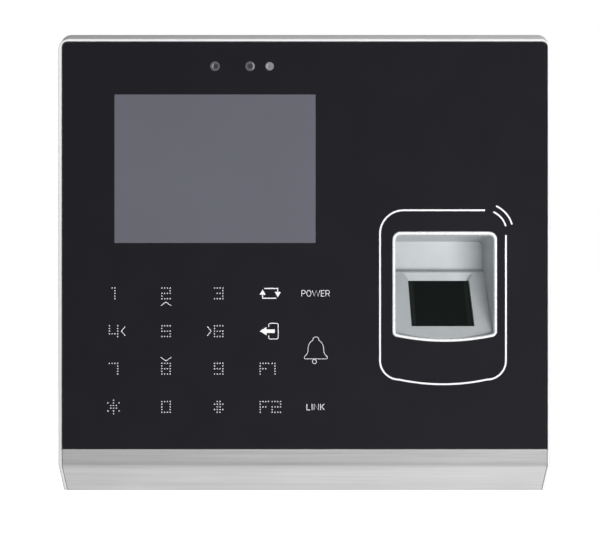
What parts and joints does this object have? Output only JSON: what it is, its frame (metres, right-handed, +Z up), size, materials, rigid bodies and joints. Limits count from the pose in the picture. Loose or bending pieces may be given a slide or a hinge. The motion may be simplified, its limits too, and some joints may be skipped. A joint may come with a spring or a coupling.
{
  "type": "fingerprint scanner terminal",
  "caption": "Wall-mounted access terminal: black glass front with display, touch keypad and card zone, recessed fingerprint sensor, brushed strip, rear cover and wall plate.",
  "frame": {"origin": "centre of the wall plate's back face, on the wall plane", "axes": "+X to the right seen from the front, +Y into the wall, +Z up; the front faces -Y"},
  "size_m": [0.176, 0.0425, 0.1655],
  "materials": {
    "silver_paint": "silver lacquer, satin gloss",
    "panel_glass": "black printed acrylic, high gloss",
    "brushed_strip": "brushed along its length",
    "well_silver": "silver lacquer, satin, with a bright rim",
    "sensor_glass": "near-black coated glass",
    "clear_acrylic": "clear moulded acrylic",
    "display_glass": "unlit display, grey",
    "lens_glass": "coated lens",
    "black_plastic": "moulded, fine texture",
    "cover_plastic": "moulded, spark-eroded texture",
    "white_plastic": "moulded, satin",
    "green_plastic": "moulded, satin",
    "blue_plastic": "moulded, satin",
    "board_green": "solder resist on glass-fibre board",
    "flex_amber": "polyimide film",
    "plated_steel": "tin plated",
    "plate_steel": "zinc plated sheet",
    "screw_steel": "nickel plated",
    "black_tape": "foam adhesive",
    "black_foam": "foam",
    "black_rubber": "silicone rubber"
  },
  "bodies": {
    "wall_plate": {"wall_plate": "plate_steel", "lock_screw": "screw_steel"},
    "terminal": {"front_frame": "silver_paint", "front_glass": "panel_glass", "glass_tape": "black_tape", "trim_strip": "brushed_strip", "sensor_well": "well_silver", "sensor_window": "sensor_glass", "sensor_prism": "clear_acrylic", "sensor_camera": "black_plastic", "sensor_board": "board_green", "sensor_cable": "flex_amber", "card_antenna": "board_green", "lcd_panel": "display_glass", "lcd_backlight": "white_plastic", "lcd_frame": "plated_steel", "lcd_flex": "flex_amber", "touch_key_film": "flex_amber", "key_light_guide": "white_plastic", "key_led_board": "board_green", "camera_barrel": "black_plastic", "camera_lens": "lens_glass", "camera_board": "board_green", "light_sensor": "black_plastic", "fill_light": "clear_acrylic", "inner_carrier": "black_plastic", "main_board": "board_green", "processor_shield": "plated_steel", "battery_holder": "black_plastic", "coin_battery": "screw_steel", "door_relay": "blue_plastic", "ethernet_jack": "plated_steel", "power_block": "green_plastic", "lock_block": "green_plastic", "usb_port": "plated_steel", "speaker": "black_plastic", "speaker_gasket": "black_foam", "microphone": "plated_steel", "tamper_switch": "black_plastic", "tamper_spring": "screw_steel", "reset_switch": "plated_steel", "perimeter_seal": "black_rubber", "rear_cover": "cover_plastic", "case_screw_1": "screw_steel", "main_board_screw_1": "screw_steel", "case_screw_2": "screw_steel", "main_board_screw_2": "screw_steel", "case_screw_3": "screw_steel", "main_board_screw_3": "screw_steel", "case_screw_4": "screw_steel", "main_board_screw_4": "screw_steel", "sensor_board_screw_1": "screw_steel", "sensor_board_screw_2": "screw_steel"},
    "tamper_plunger": {"tamper_plunger": "white_plastic"},
    "reset_button": {"reset_button": "black_plastic"},
    "usb_cover": {"usb_cover": "black_rubber"}
  },
  "joints": [
    {"name": "terminal_swing", "type": "hinge", "parent": "wall_plate", "child": "terminal", "pos_m": [0, -0.0009, 0.08], "axis": [-1, 0, 0], "range_deg": [0, 25]},
    {"name": "tamper_travel", "type": "slide", "parent": "terminal", "child": "tamper_plunger", "axis": [0, 1, 0], "range_m": [-0.0006, 0.002]},
    {"name": "reset_press", "type": "slide", "parent": "terminal", "child": "reset_button", "axis": [0, -1, 0], "range_m": [0, 0.0005]},
    {"name": "usb_cover_swing", "type": "hinge", "parent": "terminal", "child": "usb_cover", "pos_m": [-0.05, -0.0187, -0.08255], "axis": [1, 0, 0], "range_deg": [0, 100]}
  ]
}
